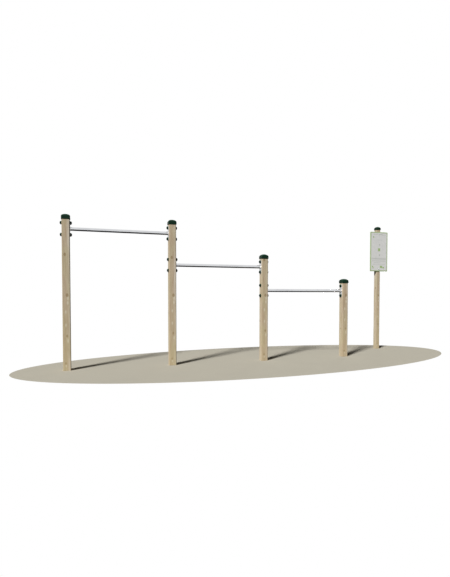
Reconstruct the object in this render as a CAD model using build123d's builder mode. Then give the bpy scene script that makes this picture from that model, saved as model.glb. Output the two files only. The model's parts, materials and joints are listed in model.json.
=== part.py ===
"""Three pull-up bars that step down along a row of four timber posts, and a sign on a fifth post.

Millimetres, +Z up. X runs along the row from the tall end post to the short one, and Y runs
from the front to the back. The origin is the centre of the tall end post's foot, on the ground.
Each bar is a steel tube welded to two end plates. Two bolts hold each plate and go right
through the post, and a two-piece plastic cover hides each bolt head and each nut.
"""

import os
from math import sqrt

from build123d import *

os.makedirs("parts", exist_ok=True)

# The row of posts
post_pitch = 1250.0  # from one post's centre to the next
bar_heights = (1650.0, 1258.0, 943.0)  # axis of each bar above the ground
rim_above_bar = 110.0  # from the highest bar on a post up to the rim of its cap
post_width = 90.0
post_chamfer = 6.5  # on the long edges
anchor_hole_radius = 11.0  # blind hole in the foot, for an anchor rod
anchor_hole_depth = 150.0

# Bars and their end plates
tube_radius = 21.2
tube_wall = 2.6
plate_margin = 0.6  # plate left showing beside the weld
plate_thickness = 4.0
plate_chamfer = 0.8
weld_leg = 3.2

# Bolts through the posts
bolt_pitch = 137.0  # from the bolt above a bar to the one below it
bolt_radius = 5.0
bolt_hole_clearance = 0.5
bolt_end = 2.0  # thread that stands out of the nut
hex_width = 17.0  # across the flats of the head and the nut
head_height = 6.4
nut_height = 8.4
hex_chamfer = 0.6
washer_radius = 10.0
washer_thickness = 2.0

# Two-piece bolt covers
cover_radius = 21.0
cover_base_thickness = 3.0
cover_dome_height = 18.0
cover_wall = 2.4
collar_height = 4.0  # ring on the base that the dome snaps over
collar_wall = 2.0
collar_clearance = 0.2

# Caps on the posts
cap_wall = 4.5
cap_clearance = 1.5  # between a post and the inside of its cap
cap_skirt = 24.0  # height of the straight sides
cap_rise = 36.0  # height of the domed top above them
cap_seat = 17.0  # length of post inside the cap
cap_corner = 8.0
cap_top_wall = 4.0
cap_rib = 3.0
cap_rim_fillet = 1.5

# The sign's post and cap
sign_post_along = 1050.0  # from the short end post, along the row
sign_post_behind = 625.0  # from the row's centre line, to the back
sign_post_width = 70.0
sign_rim_height = 1948.0
sign_cap_wall = 2.4
sign_cap_skirt = 19.0
sign_cap_rise = 33.0
sign_cap_seat = 12.0
sign_cap_corner = 6.0

# The sign's board and the sheet let into its front
board_width = 332.0
board_height = 640.0
board_thickness = 10.0
board_corner = 12.0
board_fillet = 2.0
board_lower_edge = 1271.0  # above the ground
face_border = 16.0  # board left showing round the face sheet
face_thickness = 1.5
face_corner = 6.0
face_clearance = 0.2

# The sign's screws
screw_inset = 35.0  # from the board's upper and lower edges
screw_radius = 4.0
screw_hole_clearance = 0.5
screw_length = 60.0  # under the head
screw_head_radius = 7.5
screw_head_height = 4.5
screw_head_fillet = 2.0
screw_socket_width = 5.0
screw_socket_depth = 2.6
screw_washer_radius = 10.0
screw_washer_thickness = 1.5

# Worked out from the sizes above
post_half = post_width / 2
post_positions = [post_pitch * index for index in range(len(bar_heights) + 1)]
bolt_hole_radius = bolt_radius + bolt_hole_clearance
plate_width = 2 * (tube_radius + weld_leg + plate_margin)
plate_face = post_half + plate_thickness  # outer face of an end plate, from the post's centre
tube_length = post_pitch - 2 * plate_face
head_seat = cover_base_thickness + washer_thickness  # a head or nut, above what carries its cover
sign_x = post_positions[-1] + sign_post_along
sign_y = sign_post_behind
board_back = sign_y - sign_post_width / 2
board_middle = board_lower_edge + board_height / 2
screw_pitch = board_height - 2 * screw_inset
screw_hole_radius = screw_radius + screw_hole_clearance


def write(part, name, places=(Location(),)):
    """Write a piece, or a group of identical ones, as one STEP file."""
    with BuildPart() as placed:
        with Locations(*places):
            add(part)
    placed.part.label = name
    export_step(placed.part, f"parts/{name}.step")


def bar_ends(index):
    """The bar ends on a post: (bar height, side), where side is +1 for a bar to the right."""
    ends = []
    if index > 0:
        ends.append((bar_heights[index - 1], -1))
    if index < len(bar_heights):
        ends.append((bar_heights[index], 1))
    return ends


def facing(index, height, side, distance):
    """A plane that looks out from a post along the row, at a distance from the post's centre."""
    x = post_positions[index] + side * distance
    return Plane(origin=(x, 0, height), x_dir=(0, side, 0), z_dir=(side, 0, 0))


def bolt_places(plane):
    """Where the two bolts of a bar end cross a plane: one above the bar and one below it."""
    return [plane.location * Location((0, rise, 0)) for rise in (bolt_pitch / 2, -bolt_pitch / 2)]


def rim_height(index):
    """Height of the rim of the cap on a post in the row."""
    return max(height for height, _ in bar_ends(index)) + rim_above_bar


def dome_radius(rim, height):
    """Radius of the sphere whose cap has this rim radius and this height."""
    return (rim**2 + height**2) / (2 * height)


def dome_width(rim, height, level):
    """Radius of a spherical cap at a level above its rim."""
    radius = dome_radius(rim, height)
    return sqrt(radius**2 - (level - height + radius) ** 2)


def pillow(base, width, corner, straight, rise):
    """A rounded square block whose top is domed like two barrels that cross."""
    barrel_radius = dome_radius(width / 2, rise)
    barrel_axis = Vector(0, 0, base + straight + rise - barrel_radius)
    with BuildPart() as block:
        with BuildSketch(Plane.XY.offset(base + straight)):
            RectangleRounded(width, width, corner)
        extrude(amount=rise)
        for direction in ((1, 0, 0), (0, 1, 0)):
            with BuildSketch(Plane(origin=barrel_axis, z_dir=direction)):
                Circle(barrel_radius)
            extrude(amount=width, both=True, mode=Mode.INTERSECT)
        with BuildSketch(Plane.XY.offset(base)):
            RectangleRounded(width, width, corner)
        extrude(amount=straight)
    return block.part


def post_cap(post_size, wall, skirt, rise, seat, corner):
    """A moulded cap, with its rim at height 0: skirt, domed top and a cross of ribs inside."""
    inside = post_size + 2 * cap_clearance
    pocket = post_size - 2 * post_chamfer
    pocket_rise = skirt + rise - seat - 2 * cap_top_wall

    # Four hollows under the dome, between ribs that rest on the post
    with BuildPart() as pockets:
        add(pillow(seat, pocket, corner, cap_top_wall, pocket_rise))
        with BuildSketch(Plane.XY.offset(seat)):
            Rectangle(pocket, cap_rib)
            Rectangle(cap_rib, pocket)
        extrude(amount=skirt + rise, mode=Mode.SUBTRACT)

    with BuildPart() as cap:
        add(pillow(0, inside + 2 * wall, corner, skirt, rise))
        fillet(cap.faces().sort_by(Axis.Z)[0].edges(), cap_rim_fillet)
        with BuildSketch():
            RectangleRounded(inside, inside, post_chamfer + cap_clearance)
        extrude(amount=seat, mode=Mode.SUBTRACT)
        add(pockets.part, mode=Mode.SUBTRACT)
    return cap.part


def timber_post(x, y, width, height):
    """A square post with chamfered long edges and a blind anchor hole in its foot."""
    foot = Plane(origin=(x, y, 0))
    with BuildPart() as post:
        with BuildSketch(foot) as outline:
            Rectangle(width, width)
            chamfer(outline.vertices(), post_chamfer)
        extrude(amount=height)
        with Locations(foot):
            Hole(anchor_hole_radius, depth=anchor_hole_depth)
    return post.part


# Tube of a bar, from its left end
with BuildPart() as tube:
    Cylinder(tube_radius, tube_length, align=(Align.CENTER, Align.CENTER, Align.MIN))
    Cylinder(
        tube_radius - tube_wall,
        tube_length,
        align=(Align.CENTER, Align.CENTER, Align.MIN),
        mode=Mode.SUBTRACT,
    )

# End plate, lying on the post, with its length upright
with BuildPart() as plate:
    with BuildSketch():
        SlotCenterToCenter(bolt_pitch, plate_width, rotation=90)
        with GridLocations(0, bolt_pitch, 1, 2):
            Circle(bolt_hole_radius, mode=Mode.SUBTRACT)
    extrude(amount=plate_thickness)
    chamfer(plate.faces().sort_by(Axis.Z)[-1].outer_wire().edges(), plate_chamfer)

# Ring of weld in the corner between a plate and a tube
with BuildPart() as weld:
    with BuildSketch(Plane.XZ):
        with BuildLine():
            on_plate = (tube_radius + weld_leg, 0)
            on_tube = (tube_radius, weld_leg)
            Polyline(on_tube, (tube_radius, 0), on_plate)
            RadiusArc(on_plate, on_tube, -2 * weld_leg)
        make_face()
    revolve(axis=Axis.Z)

# Bolt, with height 0 on the face that carries the cover over its head
with BuildPart() as bolt:
    with BuildSketch(Plane.XY.offset(head_seat)):
        RegularPolygon(hex_width / 2, 6, major_radius=False)
    extrude(amount=head_height)
    chamfer(bolt.faces().sort_by(Axis.Z)[-1].edges(), hex_chamfer)
    with BuildSketch(Plane.XY.offset(head_seat)):
        Circle(bolt_radius)
    extrude(amount=-(2 * head_seat + plate_thickness + post_width + nut_height + bolt_end))
    chamfer(bolt.faces().sort_by(Axis.Z)[0].edges(), hex_chamfer)

# Nut and washer, with height 0 on the face that carries their cover
with BuildPart() as nut:
    with BuildSketch(Plane.XY.offset(head_seat)):
        RegularPolygon(hex_width / 2, 6, major_radius=False)
        Circle(bolt_radius, mode=Mode.SUBTRACT)
    extrude(amount=nut_height)
    chamfer(nut.faces().sort_by(Axis.Z)[-1].outer_wire().edges(), hex_chamfer)

with BuildPart() as washer:
    with BuildSketch(Plane.XY.offset(cover_base_thickness)):
        Circle(washer_radius)
        Circle(bolt_hole_radius, mode=Mode.SUBTRACT)
    extrude(amount=washer_thickness)

# Base of a bolt cover: a disc under the washer, with the collar that holds the dome
dome_inner_rim = cover_radius - cover_wall
dome_inner_height = cover_dome_height - cover_wall
collar_fit = dome_width(dome_inner_rim, dome_inner_height, collar_height)
collar_radius = collar_fit - collar_clearance
with BuildPart() as cover_base:
    with BuildSketch():
        Circle(cover_radius)
        Circle(bolt_hole_radius, mode=Mode.SUBTRACT)
    extrude(amount=cover_base_thickness)
    with BuildSketch(Plane.XY.offset(cover_base_thickness)):
        Circle(collar_radius)
        Circle(collar_radius - collar_wall, mode=Mode.SUBTRACT)
    extrude(amount=collar_height)

# Dome of a bolt cover: a thin spherical cap whose rim stands on the base
with BuildPart() as cover_dome:
    with BuildSketch(Plane.XZ):
        with BuildLine():
            outer_rim = (cover_radius, cover_base_thickness)
            outer_top = (0, cover_base_thickness + cover_dome_height)
            inner_rim = (dome_inner_rim, cover_base_thickness)
            inner_top = (0, cover_base_thickness + dome_inner_height)
            Line(inner_rim, outer_rim)
            RadiusArc(outer_rim, outer_top, -dome_radius(cover_radius, cover_dome_height))
            Line(outer_top, inner_top)
            RadiusArc(inner_rim, inner_top, -dome_radius(dome_inner_rim, dome_inner_height))
        make_face()
    revolve(axis=Axis.Z)

# Posts in the row, drilled along the row for the bolts of each bar end, and their caps
row_cap = post_cap(post_width, cap_wall, cap_skirt, cap_rise, cap_seat, cap_corner)
for index, x in enumerate(post_positions):
    with BuildPart() as post:
        add(timber_post(x, 0, post_width, rim_height(index) + cap_seat))
        for height, side in bar_ends(index):
            with Locations(*bolt_places(facing(index, height, side, post_half))):
                Hole(bolt_hole_radius, depth=post_width)
    write(post.part, f"post_{index + 1}")
    write(row_cap, f"post_cap_{index + 1}", [Location((x, 0, rim_height(index)))])

# Bars, each with a plate and a ring of weld at both ends
for index, height in enumerate(bar_heights):
    bar_name = f"bar_{index + 1}"
    left_post = facing(index, height, 1, post_half).location
    right_post = facing(index + 1, height, -1, post_half).location
    on_plate = Location((0, 0, plate_thickness))
    write(plate.part, f"{bar_name}_plate_left", [left_post])
    write(plate.part, f"{bar_name}_plate_right", [right_post])
    write(tube.part, f"{bar_name}_tube", [left_post * on_plate])
    write(weld.part, f"{bar_name}_welds", [left_post * on_plate, right_post * on_plate])

# Bolts with their washers, nuts and covers, one group of each kind to a post
for index in range(len(post_positions)):
    post_name = f"post_{index + 1}"
    head_places = []
    nut_places = []
    for height, side in bar_ends(index):
        head_places += bolt_places(facing(index, height, side, plate_face))
        nut_places += bolt_places(facing(index, height, -side, post_half))
    write(bolt.part, f"{post_name}_bolts", head_places)
    write(nut.part, f"{post_name}_nuts", nut_places)
    write(washer.part, f"{post_name}_washers", head_places + nut_places)
    write(cover_base.part, f"{post_name}_cover_bases", head_places + nut_places)
    write(cover_dome.part, f"{post_name}_cover_domes", head_places + nut_places)

# The sign's post, with two pilot holes in its front
screw_plane = Plane(origin=(sign_x, board_back, board_middle), x_dir=(1, 0, 0), z_dir=(0, -1, 0))
screw_reach = screw_length - board_thickness - screw_washer_thickness
with BuildPart() as sign_post:
    add(timber_post(sign_x, sign_y, sign_post_width, sign_rim_height + sign_cap_seat))
    with Locations(screw_plane):
        with GridLocations(0, screw_pitch, 1, 2):
            Hole(screw_radius, depth=screw_reach)
write(sign_post.part, "sign_post")

sign_cap = post_cap(
    sign_post_width, sign_cap_wall, sign_cap_skirt, sign_cap_rise, sign_cap_seat, sign_cap_corner
)
write(sign_cap, "sign_post_cap", [Location((sign_x, sign_y, sign_rim_height))])

# The board: a slab with rounded edges and a shallow recess for the face sheet
face_width = board_width - 2 * face_border
face_height = board_height - 2 * face_border
with BuildPart() as board:
    with BuildSketch(screw_plane):
        RectangleRounded(board_width, board_height, board_corner)
    extrude(amount=board_thickness)
    fillet(board.faces().sort_by(Axis.Y)[0].edges(), board_fillet)
    with BuildSketch(screw_plane.offset(board_thickness - face_thickness)):
        RectangleRounded(face_width, face_height, face_corner)
    extrude(amount=face_thickness, mode=Mode.SUBTRACT)
    with BuildSketch(screw_plane):
        with GridLocations(0, screw_pitch, 1, 2):
            Circle(screw_hole_radius)
    extrude(amount=board_thickness, mode=Mode.SUBTRACT)
write(board.part, "sign_board")

with BuildPart() as face:
    with BuildSketch(screw_plane.offset(board_thickness - face_thickness)):
        RectangleRounded(
            face_width - 2 * face_clearance,
            face_height - 2 * face_clearance,
            face_corner - face_clearance,
        )
        with GridLocations(0, screw_pitch, 1, 2):
            Circle(screw_hole_radius, mode=Mode.SUBTRACT)
    extrude(amount=face_thickness)
write(face.part, "sign_face")

# The sign's screws and washers, with height 0 on the front of the board
with BuildPart() as screw:
    with BuildSketch(Plane.XY.offset(screw_washer_thickness)):
        Circle(screw_head_radius)
    extrude(amount=screw_head_height)
    fillet(screw.faces().sort_by(Axis.Z)[-1].edges(), screw_head_fillet)
    with BuildSketch(Plane.XY.offset(screw_washer_thickness + screw_head_height)):
        RegularPolygon(screw_socket_width / 2, 6, major_radius=False)
    extrude(amount=-screw_socket_depth, mode=Mode.SUBTRACT)
    with BuildSketch(Plane.XY.offset(screw_washer_thickness)):
        Circle(screw_radius)
    extrude(amount=-screw_length)

with BuildPart() as screw_washer:
    with BuildSketch():
        Circle(screw_washer_radius)
        Circle(screw_hole_radius, mode=Mode.SUBTRACT)
    extrude(amount=screw_washer_thickness)

board_front = screw_plane.offset(board_thickness).location
screw_places = [board_front * Location((0, side * screw_pitch / 2, 0)) for side in (1, -1)]
write(screw.part, "sign_screws", screw_places)
write(screw_washer.part, "sign_washers", screw_places)
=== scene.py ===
# %% [markdown]
# # A row of pull-up bars with its sign
#
# Four square timber posts stand in a row and carry three steel bars, each lower than the one
# before it. A fifth, thinner post beside them carries a sign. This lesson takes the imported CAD
# model as a fixed frame, makes new surfaces where a finer shape is wanted, and gives every
# piece its finish. All lengths are in metres, and every piece takes its place from the frame.

# %% Load the frame
import json

import bpy
import numpy as np
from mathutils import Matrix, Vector

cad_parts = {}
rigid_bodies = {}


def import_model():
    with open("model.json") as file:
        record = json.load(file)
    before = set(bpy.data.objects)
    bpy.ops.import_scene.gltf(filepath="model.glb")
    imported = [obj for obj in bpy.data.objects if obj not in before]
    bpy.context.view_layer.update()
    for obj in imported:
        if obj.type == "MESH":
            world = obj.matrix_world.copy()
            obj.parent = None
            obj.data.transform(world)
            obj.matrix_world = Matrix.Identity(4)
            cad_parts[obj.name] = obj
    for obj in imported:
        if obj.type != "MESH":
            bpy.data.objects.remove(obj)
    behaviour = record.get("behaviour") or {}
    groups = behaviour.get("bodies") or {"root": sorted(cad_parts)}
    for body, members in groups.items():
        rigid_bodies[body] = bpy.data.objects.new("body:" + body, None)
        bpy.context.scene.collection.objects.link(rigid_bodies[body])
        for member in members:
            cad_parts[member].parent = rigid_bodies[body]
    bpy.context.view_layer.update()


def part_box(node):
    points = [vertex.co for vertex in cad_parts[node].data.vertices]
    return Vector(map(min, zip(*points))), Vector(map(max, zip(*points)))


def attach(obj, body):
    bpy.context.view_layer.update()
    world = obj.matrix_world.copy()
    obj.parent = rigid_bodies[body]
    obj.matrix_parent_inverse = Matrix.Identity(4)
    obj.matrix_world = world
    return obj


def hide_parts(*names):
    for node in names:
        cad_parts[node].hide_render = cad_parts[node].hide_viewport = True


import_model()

# %% [markdown]
# ## Reading sizes from the frame
#
# A post's box gives its width, its centre and its height, and a tube's box gives its radius
# and its axis. So the lesson follows the CAD model, and only the sizes that no box holds, such
# as a chamfer, are named here.

# %% Sizes of the posts and bars
MM = 0.001


def box_of(node):
    """Lowest and highest corner of a node, its middle and its size, as arrays."""
    low, high = (np.array(corner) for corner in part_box(node))
    return low, high, (low + high) / 2, high - low


row_posts = ["post_1", "post_2", "post_3", "post_4"]
posts = row_posts + ["sign_post"]
caps = {post: post.replace("post_", "post_cap_") for post in row_posts}
caps["sign_post"] = "sign_post_cap"
bars = ["bar_1", "bar_2", "bar_3"]
for post in posts:
    size = box_of(post)[3]
    print(post, "is", round(size[0] / MM), "mm wide and", round(size[2] / MM), "mm tall")

# %% [markdown]
# ## Turning arrays into surfaces
#
# Nearly every piece here is a stack of closed loops: the outlines of a post from foot to top, or
# the circles of a tube. A stack of loops is one array of shape (loops, points, 3), and the faces
# between neighbouring loops follow from the index pattern alone. The ends are closed by
# a fan to a middle point, or the last loop is joined to the first, as in a ring of weld.
#
# The same shapes could be extruded and spun by hand, or built up from modifiers. Arrays are
# chosen because one pair of functions then serves every piece, no vertex needs a Python loop,
# and a piece follows its CAD node when a size changes.


# %% Stack of loops to solid
def loop_faces(loops, points, ring):
    """Quads between neighbouring loops; a ring also joins the last loop to the first."""
    last = loops if ring else loops - 1
    row = np.arange(last)[:, None]
    column = np.arange(points)[None, :]
    next_row = (row + 1) % loops
    next_column = (column + 1) % points
    corners = np.broadcast_arrays(
        row * points + column,
        row * points + next_column,
        next_row * points + next_column,
        next_row * points + column,
    )
    return np.stack(corners, axis=-1).reshape(-1, 4)


def solid_from_loops(stack, ring=False):
    """Vertices, quads and triangles of a closed solid, with its faces pointing outwards."""
    loops, points, _ = stack.shape
    vertices = stack.reshape(-1, 3)
    quads = loop_faces(loops, points, ring)
    fans = np.zeros((0, 3), int)
    if not ring:
        here = np.arange(points)
        there = (here + 1) % points
        last = (loops - 1) * points
        vertices = np.vstack([vertices, stack[0].mean(0), stack[-1].mean(0)])
        first_fan = np.stack([there, here, np.full(points, len(vertices) - 2)], -1)
        last_fan = np.stack([last + here, last + there, np.full(points, len(vertices) - 1)], -1)
        fans = np.vstack([first_fan, last_fan])
    # The triangles' signed volumes add up to less than 0 where the faces point inwards
    triangles = np.vstack([quads[:, [0, 1, 2]], quads[:, [0, 2, 3]], fans])
    a, b, c = (vertices[triangles[:, k]] - vertices.mean(0) for k in range(3))
    if np.einsum("ij,ij->i", a, np.cross(b, c)).sum() < 0:
        quads, fans = quads[:, ::-1], fans[:, ::-1]
    return vertices, quads, fans


# %% Solids to piece
def make_piece(name, solids, sharp_angle=40):
    """One object from one or more solids, shaded smooth except at edges sharper than an angle."""
    vertices = []
    loops = []
    sizes = []
    offset = 0
    for points, quads, fans in solids:
        vertices.append(points)
        loops += [(quads + offset).ravel(), (fans + offset).ravel()]
        sizes += [np.full(len(quads), 4), np.full(len(fans), 3)]
        offset += len(points)
    vertices = np.vstack(vertices)
    loops = np.concatenate(loops)
    sizes = np.concatenate(sizes)
    mesh = bpy.data.meshes.new(name)
    mesh.vertices.add(len(vertices))
    mesh.vertices.foreach_set("co", vertices.ravel())
    mesh.loops.add(len(loops))
    mesh.loops.foreach_set("vertex_index", loops)
    mesh.polygons.add(len(sizes))
    mesh.polygons.foreach_set("loop_start", np.cumsum(sizes) - sizes)
    mesh.polygons.foreach_set("use_smooth", np.ones(len(sizes), bool))
    mesh.update(calc_edges=True)
    mesh.validate()
    mesh.set_sharp_from_angle(angle=np.radians(sharp_angle))
    piece = bpy.data.objects.new(name, mesh)
    bpy.context.scene.collection.objects.link(piece)
    return piece


def coat(piece, finish):
    """Make a finish the only one on a piece."""
    piece.data.materials.clear()
    piece.data.materials.append(finish)
    print(piece.name, "has", len(piece.data.polygons), "faces and wears", finish.name)


def give(piece, finish, replaced):
    """Finish a new piece, let it ride on the only body and hide the node it stands for."""
    coat(piece, finish)
    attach(piece, "root")
    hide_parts(replaced)


# %% [markdown]
# ## Shader maths as Python expressions
#
# A pattern on a surface is a sum of simple fields: a distance, a noise, a stripe. `Signal` wraps
# a socket, so that `grain * 0.3 + rings` adds the Math nodes for it. Every other node comes from
# `Finish.node`, which sets the node's settings first and its sockets after them. The nodes could
# be wired by hand in the shader editor, but an expression can be read, copied and put in a loop.


# %% Signals
class Signal:
    """A number or a vector that flows out of a node."""

    def __init__(self, finish, socket):
        self.finish = finish
        self.socket = socket

    def math(self, operation, *others):
        """One Math node on this signal and the others, which may be plain numbers."""
        sockets = dict(enumerate((self,) + others))
        return self.finish.node("Math", {"operation": operation}, sockets)

    def __add__(self, other):
        return self.math("ADD", other)

    def __mul__(self, other):
        return self.math("MULTIPLY", other)

    def __sub__(self, other):
        return self.math("SUBTRACT", other)

    def __rsub__(self, other):
        return self.finish.node("Math", {"operation": "SUBTRACT"}, {0: other, 1: self})

    def __pow__(self, other):
        return self.math("POWER", other)

    __radd__ = __add__
    __rmul__ = __mul__


# %% Finishes
class Finish:
    """A material with one Principled shader, built up node by node."""

    def __init__(self, name):
        self.material = bpy.data.materials.new(name)
        self.material.use_nodes = True
        self.tree = self.material.node_tree
        self.tree.nodes.clear()
        self.shader = self.tree.nodes.new("ShaderNodeBsdfPrincipled")
        output = self.tree.nodes.new("ShaderNodeOutputMaterial")
        self.tree.links.new(self.shader.outputs[0], output.inputs[0])
        self.place = self.node("TexCoord", output="Object")

    def plug(self, socket, value):
        """Link a signal to a socket, or set a plain value on it."""
        if isinstance(value, Signal):
            self.tree.links.new(value.socket, socket)
        else:
            socket.default_value = value

    def node(self, kind, settings=None, sockets=None, output=0):
        """Any node: its settings first, then its sockets by name or number."""
        node = self.tree.nodes.new("ShaderNode" + kind)
        for key, value in (settings or {}).items():
            setattr(node, key, value)
        for key, value in (sockets or {}).items():
            self.plug(node.inputs[key], value)
        return Signal(self, node.outputs[output])

    def noise(self, stretch, detail=3.0, offset=(0, 0, 0)):
        """Noise on Object coordinates; stretch holds the number of lumps to a metre, by axis."""
        sockets = {"Vector": self.place, "Scale": stretch, "Location": offset}
        coordinates = self.node("Mapping", None, sockets)
        sockets = {"Vector": coordinates, "Scale": 1.0, "Detail": detail}
        return self.node("TexNoise", None, sockets)

    def step(self, value, low, high):
        """0 below low and 1 above high, smooth between them."""
        settings = {"interpolation_type": "SMOOTHSTEP"}
        return self.node("MapRange", settings, {"Value": value, "From Min": low, "From Max": high})

    def blend(self, factor, first, second):
        """The first colour where the factor is 0 and the second where it is 1."""
        return self.node("Mix", {"data_type": "RGBA"}, {0: factor, 6: first, 7: second}, 2)

    def bump(self, height, distance, strength):
        """Feed a height field into the shader's normal; the distance is its depth in metres."""
        sockets = {"Height": height, "Distance": distance, "Strength": strength}
        self.plug(self.shader.inputs["Normal"], self.node("Bump", None, sockets))

    def surface(self, **sockets):
        """Set the shader's own sockets; an underscore in a name stands for a space."""
        for name, value in sockets.items():
            self.plug(self.shader.inputs[name.replace("_", " ")], value)
        print(self.material.name, "is a finish of", len(self.tree.nodes), "nodes")
        return self.material


def rgb(red, green, blue):
    """A display colour, 0 to 255, as the linear colour that a shader takes."""
    display = np.array([red, green, blue]) / 255
    linear = np.where(display > 0.04045, ((display + 0.055) / 1.055) ** 2.4, display / 12.92)
    return (*linear.tolist(), 1.0)

# %% [markdown]
# ## Timber: the shape of a post
#
# A post is a square stick with a chamfer along each long edge. Its outline is an octagon whose
# eight corners are very slightly round, so every outline point is `S + r * N`: `S` stays on an
# inner octagon, `N` is the outward direction and `r` is the small radius. With `N` at hand,
# planing waves and drying checks are just small moves along it.
#
# A stretched cube with a Bevel modifier would give the same outline, but its faces would be dead
# flat. Real timber catches the light unevenly, so the faces need points of their own to move.


# %% Outline with rounded corners
def rounded_outline(corners, radius, edge_points, arc_points):
    """Points S + radius * N and directions N round a convex polygon, counter-clockwise.

    At a corner S stays and N turns from one edge's direction to the next. Along an edge S moves
    from corner to corner and N stays. edge_points holds the number of steps of each edge.
    """
    corners = np.asarray(corners, float)
    edges = np.roll(corners, -1, 0) - corners
    facing = np.arctan2(-edges[:, 0], edges[:, 1])
    before = np.roll(facing, 1)
    after = before + (facing - before) % (2 * np.pi)
    inner, outward = [], []
    for corner, edge, first, last, steps in zip(corners, edges, before, after, edge_points):
        turn = np.linspace(first, last, arc_points + 1)
        travel = np.linspace(0, 1, steps + 1)[1:-1, None]
        inner += [np.tile(corner, (arc_points + 1, 1)), corner + travel * edge]
        way = np.stack([np.cos(turn), np.sin(turn)], -1)
        outward += [way, np.tile(way[-1], (len(travel), 1))]
    outward = np.vstack(outward)
    return np.vstack(inner) + radius * outward, outward


def four_turns(side):
    """Points (x, y) of one side of a square outline, repeated at every turn of 90 degrees."""
    quarter = np.array([[0, 1], [-1, 0]])
    return np.vstack([side @ np.linalg.matrix_power(quarter, k) for k in range(4)])


def chamfered_square(half, chamfer, radius):
    """Corners of the inner octagon of a chamfered square, counter-clockwise from the +X side."""
    far = half - radius
    near = half - chamfer + radius * (1 - np.sqrt(2))
    return four_turns([(far, -near), (far, near)])


# %% Post surfaces
CHAMFER = 6.5 * MM
EDGE_ROUNDING = 1.2 * MM
FACE_STEPS = 30
CHAMFER_STEPS = 3
LOOP_GAP = 10 * MM
FOOT_HEIGHTS = [0, 0.7 * MM, 2.5 * MM]
FOOT_INWARD = [1.2 * MM, 0.4 * MM, 0]
PLANING_WAVE = 0.12 * MM
CHECK_DEPTH = 1.1 * MM
CHECK_WIDTH = 1.3 * MM
CHECK_COUNT = 7
rng = np.random.default_rng(11)


def post_surface(post):
    """Loops of a post, and how deep each point lies in a drying check, from 0 to 1.

    A check is a narrow groove along the grain: its depth falls off as a bell curve across the
    grain, and as a parabola from its middle to its ends. The planing wave is a sum of two sines
    of the way round and the height, moved inwards by its full depth so that it stays in the post.
    """
    _, _, middle, size = box_of(post)
    corners = chamfered_square(size[0] / 2, CHAMFER, EDGE_ROUNDING)
    edge_points = [FACE_STEPS, CHAMFER_STEPS] * 4
    flat, outward = rounded_outline(corners, EDGE_ROUNDING, edge_points, arc_points=3)
    rows = int(size[2] / LOOP_GAP)
    heights = np.concatenate([FOOT_HEIGHTS, np.linspace(LOOP_GAP, size[2], rows)])[:, None]
    foot = np.concatenate([FOOT_INWARD, np.zeros(rows)])[:, None]
    steps = np.linalg.norm(np.roll(flat, -1, 0) - flat, axis=1)
    around = (np.cumsum(steps) - steps)[None, :]
    wave = np.sin(71 * around + 9 * heights) + np.sin(37 * around - 23 * heights)
    groove = np.zeros_like(wave)
    for _ in range(CHECK_COUNT):
        where = rng.uniform(0, steps.sum())
        centre = rng.uniform(0.1, 0.9) * size[2]
        reach = rng.uniform(0.05, 0.16)
        lean = rng.uniform(-0.02, 0.02)
        across = (around - where - lean * (heights - centre)) / CHECK_WIDTH
        along = np.clip(1 - ((heights - centre) / reach) ** 2, 0, 1)
        groove = np.maximum(groove, np.exp(-(across**2)) * along)
    inward = PLANING_WAVE * (2 + wave) + foot + CHECK_DEPTH * groove
    sideways = middle[:2] + flat - inward[..., None] * outward
    upward = np.broadcast_to(heights[..., None], sideways.shape[:2] + (1,))
    return np.concatenate([sideways, upward], -1), groove


# %% [markdown]
# ## Timber: the finish
#
# Softwood is a stack of cones of early and late wood round the pith. Where the saw cuts them,
# the distance from the pith decides the tone: the wood near the pith is a darker tan, the
# sapwood outside it is pale, and thin dark rings repeat through both. Noise bends that distance
# a little and every knot pushes it aside. Wide, faint streaks run along the grain on top, and
# pale resin patches lie near the knots. The treated wood is a slightly greenish tan. Towards the
# foot it is made yellower and darker; the darkening is painted shade that evens out the floor's
# bounce light.
# The chamfered edges are also made darker, as painted shade.
#
# A picture of wood could be wrapped round the post, but it would repeat, and its rings would
# break at the edges. A pattern on Object coordinates fills the whole stick, as wood does, so
# rings and knots run on round a corner.

# %% Timber colours and sizes
PALE_WOOD = rgb(212, 204, 188)
TAN_WOOD = rgb(196, 182, 165)
HEART_WOOD = rgb(181, 163, 136)
GREEN_WOOD = rgb(190, 182, 149)
BROWN_WOOD = rgb(162, 141, 116)
LATE_WOOD = rgb(140, 114, 82)
KNOT_RIM = rgb(121, 100, 71)
KNOT_HEART = rgb(144, 123, 92)
RESIN_PALE = rgb(214, 208, 188)
# Painted shade in the drying checks
CHECK_SHADE = rgb(62, 48, 36)
# Painted shade: this colour darkens a post towards its foot
FOOT_SHADE_WOOD = rgb(162, 147, 108)
# Painted shade on the chamfered edges
CHAMFER_SHADE_WOOD = rgb(140, 126, 104)
RING_WIDTH = 4.6 * MM
DRIFT_BEND = 45 * MM
WOBBLE_BEND = 6 * MM
KNOT_BEND = 7 * MM
HEART_EDGE = (18 * MM, 48 * MM)
FOOT_SHADE_HEIGHTS = (0.1, 1.5)


# %% Distance to a knot or a patch
def nearest(wood, spots, middle, squash):
    """Distance to the nearest spot, in spot radii, with heights squashed so spots are tall."""
    scale = (1, 1, squash)
    place = wood.node("VectorMath", {"operation": "MULTIPLY"}, {0: wood.place, 1: scale})
    near = None
    for x, y, z, radius in spots:
        centre = (middle[0] + x, middle[1] + y, squash * z)
        away = wood.node("VectorMath", {"operation": "DISTANCE"}, {0: place, 1: centre}, "Value")
        away = away * (1 / radius)
        near = away if near is None else near.math("MINIMUM", away)
    return near


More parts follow.
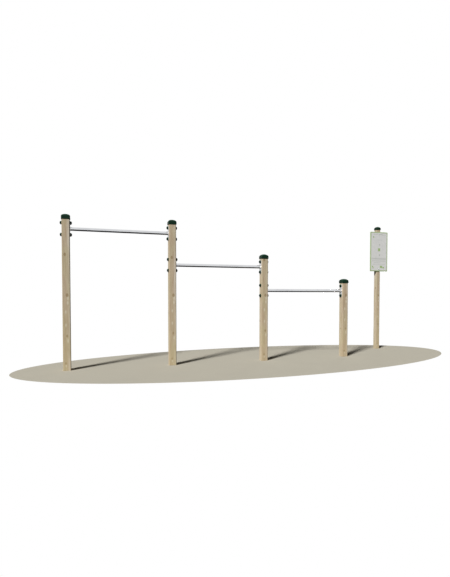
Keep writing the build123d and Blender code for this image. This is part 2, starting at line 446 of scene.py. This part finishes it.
# %% Timber finish
def timber_finish(name, middle, pith, knots, pale_spots):
    """Wood with its pith at an offset from the post's middle; spots are (x, y, z, radius)."""
    wood = Finish(name)
    near = nearest(wood, knots, middle, 0.7)
    bulge = 1 - wood.step(near, 0.7, 4.5)
    knot = 1 - wood.step(near, 0.75, 1.1)
    collar = wood.step(near, 0.5, 0.95) * (1 - wood.step(near, 1.0, 1.6))
    resin = 1 - wood.step(nearest(wood, pale_spots, middle, 0.4), 0.3, 1.25)

    # Distance from the pith, in rings
    axis = (middle[0] + pith[0], middle[1] + pith[1], 0)
    flat = wood.node("VectorMath", {"operation": "MULTIPLY"}, {0: wood.place, 1: (1, 1, 0)})
    radial = wood.node("VectorMath", {"operation": "DISTANCE"}, {0: flat, 1: axis}, "Value")
    drift = wood.noise((5, 5, 0.9), detail=2)
    wobble = wood.noise((22, 22, 3.5), detail=2)
    bent = radial + drift * DRIFT_BEND + wobble * WOBBLE_BEND + bulge * KNOT_BEND
    late = (bent * (1 / RING_WIDTH)).math("FRACT") ** 2.5
    heart = 1 - wood.step(radial + wobble * 0.014 - 0.007, *HEART_EDGE)

    # Streaks of several widths, all long in the direction of the grain
    wide = wood.step(wood.noise((30, 30, 1.8), detail=2, offset=(3, 7, 1)), 0.32, 0.68)
    narrow = wood.step(wood.noise((100, 100, 7), detail=3), 0.34, 0.7)
    fibre = wood.noise((900, 900, 16), detail=2)
    patch = wood.step(wood.noise((12, 12, 3.2), detail=2, offset=(1, 4, 9)), 0.38, 0.66)

    colour = wood.blend(wide, PALE_WOOD, TAN_WOOD)
    colour = wood.blend(heart * 0.75, colour, HEART_WOOD)
    colour = wood.blend(patch * 0.65, colour, GREEN_WOOD)
    colour = wood.blend(narrow * 0.5, colour, BROWN_WOOD)
    colour = wood.blend(late * 0.28, colour, LATE_WOOD)
    colour = wood.blend(fibre * 0.14, colour, LATE_WOOD)
    colour = wood.blend(resin * 0.6, colour, RESIN_PALE)
    colour = wood.blend(collar * 0.5, colour, KNOT_RIM)
    colour = wood.blend(knot * 0.75, colour, KNOT_HEART)
    check = wood.node("Attribute", {"attribute_name": "check"}, None, "Fac")
    # Painted shade: the drying checks are made dark where they are deep
    colour = wood.blend(wood.step(check, 0.15, 0.8) * 0.75, colour, CHECK_SHADE)
    # Painted shade: the foot is made darker, against the floor's bounce light, and yellower
    height = wood.node("SeparateXYZ", None, {0: wood.place}, "Z")
    foot_shade = 1 - wood.step(height + drift * 0.4, *FOOT_SHADE_HEIGHTS)
    colour = wood.blend(foot_shade * 0.31, colour, FOOT_SHADE_WOOD)
    # Painted shade: the chamfered edges are made darker; there x * y of N is 1/2
    facing = wood.node("NewGeometry", output="Normal")
    across = wood.node("SeparateXYZ", None, {0: facing}, "X")
    along = wood.node("SeparateXYZ", None, {0: facing}, "Y")
    edge = wood.step((across * along).math("ABSOLUTE"), 0.1, 0.45)
    colour = wood.blend(edge * 0.42, colour, CHAMFER_SHADE_WOOD)
    wood.bump(late * 0.35 + fibre * 0.5 + knot * -0.4, 0.6 * MM, 0.5)
    return wood.surface(Base_Color=colour, Roughness=fibre * 0.12 + 0.7, Specular_IOR_Level=0.06)


# %% [markdown]
# ## Timber: knots, and the five posts
#
# The posts were cut from like boards, so their front faces share one figure: four knots, and
# pale patches between them. The other faces get knots of their own from a seeded generator, so
# that every run gives the same wood. All spots sit on a face, measured from the post's middle.
# Cells of a Voronoi texture could scatter knots with less work, but a list says where each one
# lies, and a post cut shorter simply leaves out the spots above its top.

# %% Where knots and pale patches lie
FRONT_KNOTS = [
    (-0.013, 1.349, 0.011),
    (0.007, 0.879, 0.012),
    (0.004, 0.404, 0.009),
    (-0.012, 0.085, 0.008),
]
FRONT_PALE = [
    (0.016, 0.843, 0.012),
    (0.013, 0.79, 0.011),
    (-0.008, 0.685, 0.010),
    (-0.008, 0.53, 0.010),
    (0.014, 0.348, 0.011),
    (-0.009, 0.056, 0.008),
]
# Knots on each other face, by the cosine and sine of its turn from the front
SIDE_KNOTS = {(0, 1): 2, (-1, 0): 2, (0, -1): 1}


def on_front(spots, size):
    """Spots given as (across, height, radius), moved onto the front face and below the top."""
    share = size[0] / box_of("post_1")[3][0]
    front = -size[1] / 2
    below = [spot for spot in spots if spot[1] < size[2]]
    return [(share * across, front, z, share * radius) for across, z, radius in below]


def side_knots(size):
    """Knots on the right, back and left faces, as (x, y, z, radius); the left face is clearer."""
    found = []
    for (cosine, sine), count in SIDE_KNOTS.items():
        for z in rng.uniform(0.15, size[2] - 0.15, count):
            across, away = rng.uniform(-0.3, 0.3) * size[0], size[0] / 2
            x, y = cosine * across + sine * away, sine * across - cosine * away
            found.append((x, y, z, rng.uniform(0.008, 0.013)))
    return found


# %% Make the posts
piths = {
    "post_1": (-0.018, -0.034),
    "post_2": (-0.020, -0.036),
    "post_3": (-0.014, -0.032),
    "post_4": (-0.013, -0.034),
    "sign_post": (0.006, -0.026),
}
for post in posts:
    _, _, middle, size = box_of(post)
    stack, groove = post_surface(post)
    piece = make_piece(post + "_timber", [solid_from_loops(stack)], sharp_angle=50)
    # The two values past the loops belong to the middle points of the ends
    check = piece.data.attributes.new("check", "FLOAT", "POINT")
    check.data.foreach_set("value", np.concatenate([groove.ravel(), [0, 0]]))
    knots = on_front(FRONT_KNOTS, size) + side_knots(size)
    finish = timber_finish(post + "_wood", middle, piths[post], knots, on_front(FRONT_PALE, size))
    give(piece, finish, post)

# %% [markdown]
# ## Caps
#
# A moulded cap keeps rain out of the end grain. It is a shell: straight sides with a small bead
# at the rim, and a crown like a pillow above them. One stack of rounded squares makes it in a
# single sweep, from the middle of the ceiling down the inside, round the rim, and up over the
# crown to its middle. The edge radius grows with height, so the square plan ends in a circle.
#
# A cube under Subdivision Surface comes near this form, but the width of its sides then hangs on
# the modifier. Loops hold the cap to its CAD box, and give the bead and the wall their true size.


# %% Outline of a rounded square, and a stack of them
def square_pattern(edge_points, arc_points):
    """S and N of a rounded square, counter-clockwise from the +X side's upper corner.

    A point is (half - r) * S + r * N. On the quarter circle at a corner S stays at (1, 1) and N
    turns by 90 degrees; on the edge that follows S moves from (1, 1) to (-1, 1) and N stays at
    (0, 1). Four turns make a square.
    """
    turn = np.linspace(0, np.pi / 2, arc_points + 1)
    travel = np.linspace(0, 1, edge_points + 1)[1:-1]
    corner = np.ones((len(turn), 2))
    edge = np.stack([1 - 2 * travel, np.ones_like(travel)], -1)
    side_s = np.vstack([corner, edge])
    side_n = np.vstack([np.stack([np.cos(turn), np.sin(turn)], -1), edge * 0 + [0, 1]])
    return four_turns(side_s), four_turns(side_n)


def square_loops(middle, half, radius, height, pattern):
    """Stack of rounded squares; half, radius and height are arrays with one value to a loop."""
    s, n = pattern
    half, radius, height = (np.asarray(v, float)[:, None, None] for v in (half, radius, height))
    flat = np.asarray(middle[:2]) + (half - radius) * s + radius * n
    return np.concatenate([flat, np.broadcast_to(height, flat.shape[:2] + (1,))], -1)


# %% Cap surfaces
CAP_CLEARANCE = 1.5 * MM
CAP_BEAD = 0.6 * MM
CAP_INNER_CORNER = 3.5 * MM
CAP_CEILING = 4 * MM
CAP_SIDE_SHARE = 0.42
CROWN_STEPS = 26
CEILING_STEPS = 14
CROWN_POWER = 2.5
CROWN_ROUNDING = 1.6
cap_pattern = square_pattern(edge_points=22, arc_points=9)


def crown(half, corner, rise, start, steps):
    """Half width, edge radius and height of loops from the sides' top to the crown's middle.

    With e = 2 / CROWN_POWER the profile is a superellipse: half * cos(t) ** e at the height
    start + rise * sin(t) ** e. The edge radius grows from corner to the half width, as a share
    of it, with sin(t) ** CROWN_ROUNDING.
    """
    t = np.linspace(0, np.pi / 2, steps + 1)[:-1]
    widths = half * np.cos(t) ** (2 / CROWN_POWER)
    heights = start + rise * np.sin(t) ** (2 / CROWN_POWER)
    roundness = corner / half + (1 - corner / half) * np.sin(t) ** CROWN_ROUNDING
    return np.stack([widths, widths * roundness, heights], -1)


def cap_surface(post):
    """The loops of a cap, from the ceiling's middle round the rim to the crown's middle."""
    low, _, middle, size = box_of(caps[post])
    half = size[0] / 2
    side = CAP_SIDE_SHARE * size[2]
    wall = half - box_of(post)[3][0] / 2 - CAP_CLEARANCE
    corner = CAP_INNER_CORNER + wall
    rise = size[2] - side
    outer = crown(half - CAP_BEAD, corner - CAP_BEAD, rise, side, CROWN_STEPS)
    inner = crown(half - wall, CAP_INNER_CORNER, rise - CAP_CEILING, side, CEILING_STEPS)[::-1]
    # The rim, as pairs of (depth in from the outside, height): down the inside, round, up the bead
    rim = np.array([
        (wall, side * 0.5),
        (wall, 1.2 * MM),
        (wall * 0.9, 0.4 * MM),
        (wall * 0.7, 0),
        (1.2 * MM, 0),
        (0.4 * MM, 0.4 * MM),
        (0, 1.5 * MM),
        (0, 3.4 * MM),
        (CAP_BEAD / 2, 4.1 * MM),
        (CAP_BEAD, 4.6 * MM),
        (CAP_BEAD, side * 0.5),
        (CAP_BEAD, side - 2.5 * MM),
    ])
    rim = np.stack([half - rim[:, 0], corner - rim[:, 0], rim[:, 1]], -1)
    profile = np.vstack([inner, rim, outer])
    return square_loops(middle, profile[:, 0], profile[:, 1], low[2] + profile[:, 2], cap_pattern)


# %% Dark green plastic
DEEP_GREEN = rgb(10, 34, 22)
LIT_CHALK_GREEN = rgb(22, 60, 40)
MOTTLED_GREEN = rgb(18, 42, 30)


def green_plastic(name, scale):
    """Moulded plastic: deep green, a fine grained skin, and paler on top, partly from chalking and
    partly as painted light.
    """
    plastic = Finish(name)
    up = plastic.node("SeparateXYZ", None, {0: plastic.node("NewGeometry", output="Normal")}, "Z")
    mottle = plastic.noise((scale, scale, scale), detail=4)
    fine = plastic.noise((1900, 1900, 1900), detail=2)
    # Painted light and chalking: faces that point up are made paler green
    chalk_and_light = plastic.step(up + mottle * 0.5 - 0.25, 0.1, 1.1)
    colour = plastic.blend(chalk_and_light, DEEP_GREEN, LIT_CHALK_GREEN)
    colour = plastic.blend(plastic.step(mottle, 0.45, 0.75) * 0.35, colour, MOTTLED_GREEN)
    plastic.bump(fine * 0.6 + mottle * 0.4, 0.25 * MM, 0.35)
    roughness = fine * 0.12 + mottle * 0.14 + 0.4
    return plastic.surface(Base_Color=colour, Roughness=roughness, Specular_IOR_Level=0.08)


# %% Make the caps
cap_finish = green_plastic("cap_green", 60)
for post, cap in caps.items():
    piece = make_piece(cap + "_shell", [solid_from_loops(cap_surface(post))], sharp_angle=60)
    give(piece, cap_finish, cap)

# %% [markdown]
# ## Covers on the bolts
#
# Each bolt end sits under a two-piece cover: a flat base that the washer clamps, and a dome that
# snaps over it. Both are turned shapes, so a profile of (distance from the axis, height off the
# seat) is swept round the bolt's axis. The places come from the boxes: a bar's end plate gives
# its height and the face it lies on, and the box round all the covers of a post gives their
# radius and the distance between the two bolts.
#
# The Screw modifier turns a profile too, one object at a time. Here one function returns all the
# covers of a post as solids, so they go into a single mesh, as they do in the CAD node.


# %% Sweep a profile round an axis along X
def swept(profile, places, segments, closed):
    """Solids made by turning a profile of (radius, height) round each place's own X axis.

    A place is (x, y, z, sign): the seat's centre, and the side of the post that it faces. A point
    at angle t is (x + sign * height, y + radius * cos(t), z + radius * sin(t)).
    """
    t = np.linspace(0, 2 * np.pi, segments, endpoint=False)
    radius, height = np.asarray(profile, float).T[:, :, None]
    solids = []
    for x, y, z, sign in places:
        columns = (x + sign * height + 0 * t, y + radius * np.cos(t), z + radius * np.sin(t))
        solids.append(solid_from_loops(np.stack(columns, -1), ring=closed))
    return solids


def arc(centre, radius, start, end, steps):
    """Points on a circle in the profile's plane, from one angle in degrees to another."""
    t = np.radians(np.linspace(start, end, steps))
    return np.stack([centre[0] + radius * np.cos(t), centre[1] + radius * np.sin(t)], -1)


# %% Places and sizes of the covers
cover_box = box_of("post_1_cover_bases")
cover_radius = cover_box[3][1] / 2
bolt_pitch = cover_box[3][2] - 2 * cover_radius
cover_height = box_of("post_1_cover_domes")[1][0] - box_of("bar_1_plate_left")[1][0]
print("covers are", round(2 * cover_radius / MM), "mm wide and", end=" ")
print(round(cover_height / MM), "mm high")


def cover_places(post):
    """Seats of the covers on a post: two on each side for every bar that ends there."""
    low, high, middle, _ = box_of(post)
    places = []
    for index, bar in enumerate(bars):
        ends = (("left", row_posts[index], 1), ("right", row_posts[index + 1], -1))
        for side, holder, sign in ends:
            if holder != post:
                continue
            plate_low, plate_high, plate_middle, _ = box_of(f"{bar}_plate_{side}")
            on_plate = plate_high[0] if sign > 0 else plate_low[0]
            far_face = low[0] if sign > 0 else high[0]
            for step in (-1, 1):
                z = plate_middle[2] + step * bolt_pitch / 2
                places += [(on_plate, middle[1], z, sign), (far_face, middle[1], z, -sign)]
    return places


# %% Profiles of base and dome
BASE_THICKNESS = 3 * MM
BASE_HOLE = 11.5 * MM
BASE_LOWER_EDGE = 0.9 * MM
BASE_UPPER_EDGE = 1.0 * MM
SNAP_GAP = 0.1 * MM
DOME_WALL = 2.4 * MM
DOME_INSET = 0.3 * MM
DOME_SIDE = 1.6 * MM
DOME_STEPS = 22
DOME_POWERS = (0.92, 0.96)
DOME_INNER_SHARE = 0.88
base_top = BASE_THICKNESS - SNAP_GAP
lower_centre = (cover_radius - BASE_LOWER_EDGE, BASE_LOWER_EDGE)
upper_centre = (cover_radius - BASE_UPPER_EDGE, base_top - BASE_UPPER_EDGE)
# One more loop on the flat top, 3.2 mm in from the rim, keeps its shading flat
base_profile = np.vstack([
    [(BASE_HOLE, 0), (cover_radius - 0.6 * MM, 0)],
    arc(lower_centre, BASE_LOWER_EDGE, -60, 0, 4),
    arc(upper_centre, BASE_UPPER_EDGE, 0, 90, 5),
    [(cover_radius - 3.2 * MM, base_top), (BASE_HOLE, base_top)],
])

# The dome is nearly an ellipse on a short side, (width * cos(t) ** p, side + rise * sin(t) ** q),
# and its inside is the same curve, made narrower and moved down by the wall
t = np.linspace(0, np.pi / 2, DOME_STEPS)[1:-1]
dome_widths = (cover_radius - DOME_INSET) * np.cos(t) ** DOME_POWERS[0]
dome_rise = cover_height - BASE_THICKNESS - DOME_SIDE
dome_heights = BASE_THICKNESS + DOME_SIDE + dome_rise * np.sin(t) ** DOME_POWERS[1]
dome_out = np.stack([dome_widths, dome_heights], -1)
dome_in = dome_out[::3][::-1] * [DOME_INNER_SHARE, 1] - [0, DOME_WALL]
# Its lower edge, as pairs of (depth in from the base's rim, height off the base)
dome_edge = np.array([
    (DOME_WALL, 0.6 * MM),
    (DOME_WALL - 0.5 * MM, SNAP_GAP),
    (1.0 * MM, SNAP_GAP),
    (0.4 * MM, 0.4 * MM),
    (DOME_INSET, 1.0 * MM),
])
dome_edge = np.stack([cover_radius - dome_edge[:, 0], BASE_THICKNESS + dome_edge[:, 1]], -1)
dome_profile = np.vstack([dome_in, dome_edge, dome_out])
print("a base has", len(base_profile), "profile points and a dome", len(dome_profile))

# %% Make the covers
COVER_SEGMENTS = 48
cover_finish = green_plastic("cover_green", 90)
for post in row_posts:
    places = cover_places(post)
    rings = swept(base_profile, places, COVER_SEGMENTS, closed=True)
    base = make_piece(post + "_cover_rings", rings, sharp_angle=50)
    give(base, cover_finish, post + "_cover_bases")
    tops = swept(dome_profile, places, COVER_SEGMENTS, closed=False)
    dome = make_piece(post + "_cover_tops", tops, sharp_angle=50)
    give(dome, cover_finish, post + "_cover_domes")

# %% [markdown]
# ## Steel
#
# The bars are polished stainless tube. Polishing leaves very fine lines round the tube, which
# spread the reflections a little, and hands leave duller patches where they grip. The end plates
# are ground with a coarse grit and left dull, so they are far rougher and less metallic. A bead
# of weld joins the two. Its ripples are the marks of one drop of metal setting after another, so
# the bead is a ring whose section swells and shrinks.
#
# The shader has an anisotropy of its own for brushed metal, but it can't be kept when a finish is
# saved as plain textures. Noise that is stretched along the lines does much the same through
# roughness and bump. The ripples could be bump as well; as geometry they also show in outline.

# %% Steel finishes
BAR_TONES = (rgb(216, 217, 219), rgb(200, 201, 204))
PLATE_TONES = (rgb(194, 195, 196), rgb(174, 176, 178))
WELD_TONES = (rgb(214, 210, 202), rgb(168, 162, 156))
FIXING_TONES = (rgb(206, 208, 208), rgb(176, 180, 178))
LINE_DEPTH = 0.06 * MM


def steel_finish(name, tones, grain, shine, lines=0.2, metallic=1.0):
    """Steel: grain stretches the lines, shine is their mean roughness and lines its spread."""
    steel = Finish(name)
    brushed = steel.noise(grain, detail=2)
    dull = steel.step(steel.noise((14, 14, 14), detail=3), 0.35, 0.75)
    steel.bump(brushed, LINE_DEPTH, 0.4)
    colour = steel.blend(dull * 0.6 + brushed * 0.3, *tones)
    roughness = brushed * lines + dull * 0.1 + (shine - lines / 2)
    return steel.surface(Base_Color=colour, Roughness=roughness, Metallic=metallic)


bar_finish = steel_finish("polished_bar", BAR_TONES, (1500, 60, 60), 0.11, lines=0.12)
plate_finish = steel_finish("ground_plate", PLATE_TONES, (300, 300, 12), 0.5, metallic=0.4)
weld_finish = steel_finish("weld_bead", WELD_TONES, (240, 240, 240), 0.34)
fixing_finish = steel_finish("plain_fixings", FIXING_TONES, (400, 400, 400), 0.32)

# %% Rings of weld
WELD_LEG = 3.2 * MM
RIPPLE_DEPTH = 0.13
weld_turn = np.linspace(0, 2 * np.pi, 288, endpoint=False)
# The section of a fillet weld in legs: (distance off the tube, distance off the plate)
fillet = np.array([
    (-0.2, -0.1),
    (1.0, -0.1),
    (0.93, 0.14),
    (0.72, 0.42),
    (0.42, 0.72),
    (0.14, 0.93),
    (-0.2, 1.0),
])


def weld_surface(x, middle, radius, sign):
    """A ring of weld at a plate's face, its section swelling by an eighth 36 times a turn.

    A section point is (distance off the tube, distance off the plate); t goes round the tube.
    The section is scaled by 1 - RIPPLE_DEPTH * |sin(18 t + 0.3 sin(5 t))|, so that the ripples
    are not quite even.
    """
    ripple = 1 - RIPPLE_DEPTH * np.abs(np.sin(18 * weld_turn + 0.3 * np.sin(5 * weld_turn)))
    away = radius + WELD_LEG * fillet[:, 0] * ripple[:, None]
    along = np.clip(WELD_LEG * fillet[:, 1] * ripple[:, None], 0, None)
    turned_y = away * np.cos(weld_turn)[:, None]
    turned_z = away * np.sin(weld_turn)[:, None]
    return np.stack([x + sign * along, middle[1] + turned_y, middle[2] + turned_z], -1)


# %% Make the bars and their welds
TUBE_WALL = 2.6 * MM
TUBE_STATIONS = 25
TUBE_SEGMENTS = 96
for bar in bars:
    low, high, middle, size = box_of(bar + "_tube")
    radius = size[2] / 2
    length = size[0]
    stations = np.linspace(0, length, TUBE_STATIONS)
    outside = np.stack([np.full(TUBE_STATIONS, radius), stations], -1)
    inside = np.stack([np.full(2, radius - TUBE_WALL), [length, 0]], -1)
    place = (low[0], middle[1], middle[2], 1)
    walls = swept(np.vstack([outside, inside]), [place], TUBE_SEGMENTS, closed=True)
    give(make_piece(bar + "_grip", walls), bar_finish, bar + "_tube")
    rings = []
    for x, sign in ((low[0], 1), (high[0], -1)):
        rings.append(solid_from_loops(weld_surface(x, middle, radius, sign), ring=True))
    weld = make_piece(bar + "_weld_beads", rings, sharp_angle=70)
    give(weld, weld_finish, bar + "_welds")

# %% [markdown]
# ## Plates and fixings
#
# The end plates are flat sheets with two holes, and the bolts, nuts, washers and screws are as
# plain as their CAD shapes, most of them out of sight. New surfaces would add nothing, so these
# nodes keep their meshes and only get a finish.

# %% Finish the plates and fixings
for bar in bars:
    for side in ("_plate_left", "_plate_right"):
        coat(bpy.data.objects[bar + side], plate_finish)
for post in row_posts:
    for kind in ("_bolts", "_nuts", "_washers"):
        coat(bpy.data.objects[post + kind], fixing_finish)
for kind in ("sign_screws", "sign_washers"):
    coat(bpy.data.objects[kind], fixing_finish)

# %% [markdown]
# ## The sign
#
# The board is a thick green plastic sheet, and a thin pale face lies on it with a border of
# green showing all round. The face carries plain marks in place of real instructions: soft grey
# rules and a few green blocks. Each mark is a box mask on Object coordinates, and all the masks
# of one colour are joined before they tint the face, so a list of boxes is enough. The marks
# could be thin plates on the face, but ink has no thickness, and surfaces so close can flicker.

# %% Sign board
BOARD_GREEN = rgb(149, 168, 122)
BOARD_FADED = rgb(160, 177, 135)
board = Finish("board_sheet")
board_grain = board.noise((700, 700, 700), detail=3)
board_cloud = board.step(board.noise((9, 9, 9), detail=3), 0.3, 0.7)
board_colour = board.blend(board_cloud, BOARD_GREEN, BOARD_FADED)
board.bump(board_grain, 0.3 * MM, 0.3)
board.surface(Base_Color=board_colour, Roughness=board_grain * 0.15 + 0.42, Specular_IOR_Level=0.4)
coat(bpy.data.objects["sign_board"], board.material)

# %% Marks on the face
MARK_SOFTNESS = 1.5 * MM
GREEN_MARKS = [
    (0.507, 0.45, 0.040, 0.048),
    (0.185, 0.13, 0.020, 0.024),
    (0.13, 0.88, 0.020, 0.022),
    (0.165, 0.91, 0.016, 0.026),
    (0.635, 0.885, 0.046, 0.036),
    (0.765, 0.905, 0.030, 0.024),
]
GREY_MARKS = [
    (0.45, 0.06, 0.18, 0.007),
    (0.76, 0.075, 0.08, 0.005),
    (0.54, 0.20, 0.10, 0.004),
    (0.54, 0.325, 0.016, 0.03),
    (0.53, 0.59, 0.018, 0.03),
    (0.50, 0.66, 0.27, 0.004),
    (0.50, 0.685, 0.27, 0.012),
    (0.50, 0.735, 0.27, 0.008),
    (0.39, 0.78, 0.13, 0.005),
    (0.50, 0.82, 0.24, 0.004),
]
sign_low, sign_high, _, sign_size = box_of("sign_board")
face = Finish("face_marks")
face_x = face.node("SeparateXYZ", None, {0: face.place}, "X")
face_z = face.node("SeparateXYZ", None, {0: face.place}, "Z")


def box_mask(centre, size):
    """1 inside a box in the plane of the face and 0 outside it, with soft edges."""
    across = (face_x - centre[0]).math("ABSOLUTE") - size[0] / 2
    along = (face_z - centre[1]).math("ABSOLUTE") - size[1] / 2
    return 1 - face.step(across.math("MAXIMUM", along), -MARK_SOFTNESS, MARK_SOFTNESS)


def marks(places):
    """All the boxes of a list joined into one mask; a place is (across, down, width, height).

    Across and down are shares of the board's size, and width and height are lengths.
    """
    joined = None
    for across, down, width, height in places:
        centre = (sign_low[0] + across * sign_size[0], sign_high[2] - down * sign_size[2])
        mask = box_mask(centre, (width, height))
        joined = mask if joined is None else joined.math("MAXIMUM", mask)
    return joined


# %% Sign face
FACE_PALE = rgb(210, 210, 208)
FACE_CLOUDED = rgb(202, 202, 199)
RULE_GREY = rgb(150, 156, 146)
BLOCK_GREEN = rgb(138, 168, 92)
face_colour = face.blend(face.noise((7, 7, 7), detail=3), FACE_PALE, FACE_CLOUDED)
face_colour = face.blend(marks(GREY_MARKS) * 0.6, face_colour, RULE_GREY)
face_colour = face.blend(marks(GREEN_MARKS) * 0.85, face_colour, BLOCK_GREEN)
face_grain = face.noise((900, 900, 900), detail=2)
face.bump(face_grain, 0.1 * MM, 0.25)
face.surface(Base_Color=face_colour, Roughness=face_grain * 0.1 + 0.34, Specular_IOR_Level=0.35)
coat(bpy.data.objects["sign_face"], face.material)

# %% [markdown]
# ## Stage, light and camera
#
# The row stands on an oval of pale safety surfacing, and everything round it is white. One broad
# sun from the front left lights the left sides fully and the fronts a little less, and lets the
# shadows run back to the right and melt away. A weaker sun from behind, level with the ground so
# that it casts nothing on the floor, keeps the backs readable. The sky is white where the camera
# or polished steel sees it, but gives the object only a soft fill. Reflections also find a dark
# ground below the horizon, which draws the dark line along each steel bar. The camera stands in
# front of the tall post, at hip height, and looks to the right along the row.
#
# Area lamps would make softer reflections, but they fall off along a row of five metres. A sun
# lights each post alike and keeps all the shadows parallel.

# %% Oval floor
FLOOR_MIDDLE = np.array([2.495, 0.128])
FLOOR_RADII = np.array([3.105, 1.299])
FLOOR_TURN = 0.077
FLOOR_COLOUR = rgb(194, 189, 174)
FLOOR_SPECK = rgb(170, 164, 150)

stage_floor = Finish("stage_floor")
speck = stage_floor.step(stage_floor.noise((420, 420, 420), detail=3), 0.35, 0.65)
cloud = stage_floor.noise((3, 3, 3), detail=4)
floor_pale = stage_floor.blend(speck * 0.25 + cloud * 0.2, FLOOR_COLOUR, FLOOR_SPECK)
stage_floor.surface(Base_Color=floor_pale, Roughness=0.95, Specular_IOR_Level=0.0)
round_it = np.linspace(0, 2 * np.pi, 256, endpoint=False)
oval = np.stack([np.cos(round_it), np.sin(round_it)], -1) * FLOOR_RADII
cosine, sine = np.cos(FLOOR_TURN), np.sin(FLOOR_TURN)
oval = oval @ np.array([[cosine, sine], [-sine, cosine]]) + FLOOR_MIDDLE
floor_mesh = bpy.data.meshes.new("floor")
floor_mesh.from_pydata([(x, y, 0) for x, y in oval], [], [tuple(range(len(oval)))])
floor = bpy.data.objects.new("floor", floor_mesh)
bpy.context.scene.collection.objects.link(floor)
coat(floor, stage_floor.material)
floor.visible_glossy = False


# %% Suns
def add_sun(name, direction, strength, angle):
    """A far lamp that shines along a direction; strength times white on a surface square to it."""
    sun = bpy.data.lights.new(name, "SUN")
    sun.energy = strength * np.pi
    sun.angle = angle
    lamp = bpy.data.objects.new(name, sun)
    lamp.rotation_euler = Vector(direction).to_track_quat("-Z", "Y").to_euler()
    bpy.context.scene.collection.objects.link(lamp)
    print(name, "shines along", direction)


add_sun("key_light", (1.18, 1.0, -1.05), strength=1.58, angle=0.18)
add_sun("back_light", (-0.8, -1.0, 0.0), strength=0.6, angle=0.3)

# %% Sky
FILL = 0.02
DARK_GROUND = 0.015
GROUND_EDGE = (-0.5, -0.42)
world = bpy.data.worlds.new("studio")
world.use_nodes = True
bpy.context.scene.world = world
sky = world.node_tree
background = sky.nodes["Background"]
background.inputs["Color"].default_value = (1, 1, 1, 1)


def sky_node(kind, settings, sockets, output=0):
    """One node of the sky: its settings first, then its sockets, as a finish does it."""
    node = sky.nodes.new("ShaderNode" + kind)
    for key, value in settings.items():
        setattr(node, key, value)
    for key, value in sockets.items():
        if isinstance(value, bpy.types.NodeSocket):
            sky.links.new(value, node.inputs[key])
        else:
            node.inputs[key].default_value = value
    return node.outputs[output]


ray = sky.nodes.new("ShaderNodeLightPath").outputs
bounced = {0: ray["Is Glossy Ray"], 1: ray["Is Transmission Ray"]}
mirrored = sky_node("Math", {"operation": "MAXIMUM"}, bounced)
direction = sky.nodes.new("ShaderNodeTexCoord").outputs["Generated"]
height = sky_node("SeparateXYZ", {}, {0: direction}, "Z")
horizon = {
    "Value": height,
    "From Min": GROUND_EDGE[0],
    "From Max": GROUND_EDGE[1],
    "To Min": DARK_GROUND,
    "To Max": 1.0,
}
reflected = sky_node("MapRange", {"interpolation_type": "SMOOTHSTEP"}, horizon)
filled = sky_node("Mix", {}, {"Factor": mirrored, "A": FILL, "B": reflected})
strength = sky_node("Mix", {}, {"Factor": ray["Is Camera Ray"], "A": filled, "B": 1.0})
sky.links.new(strength, background.inputs["Strength"])
print("the sky has", len(sky.nodes), "nodes")

# %% Camera
EYE = Vector((0.148, -5.406, 0.876))
TURN = 0.3218
DIP = 0.0307
LENS = 27.155
SHIFT = 0.0352
camera = bpy.data.cameras.new("camera")
camera.sensor_width = 36
camera.lens = LENS
camera.shift_y = SHIFT
camera_object = bpy.data.objects.new("camera", camera)
camera_object.location = EYE
camera_object.rotation_euler = (np.pi / 2 - DIP, 0, -TURN)
bpy.context.scene.collection.objects.link(camera_object)
bpy.context.scene.camera = camera_object
bpy.context.scene.view_settings.view_transform = "Standard"
print("the camera stands", round(-EYE.y, 2), "m in front of the row")
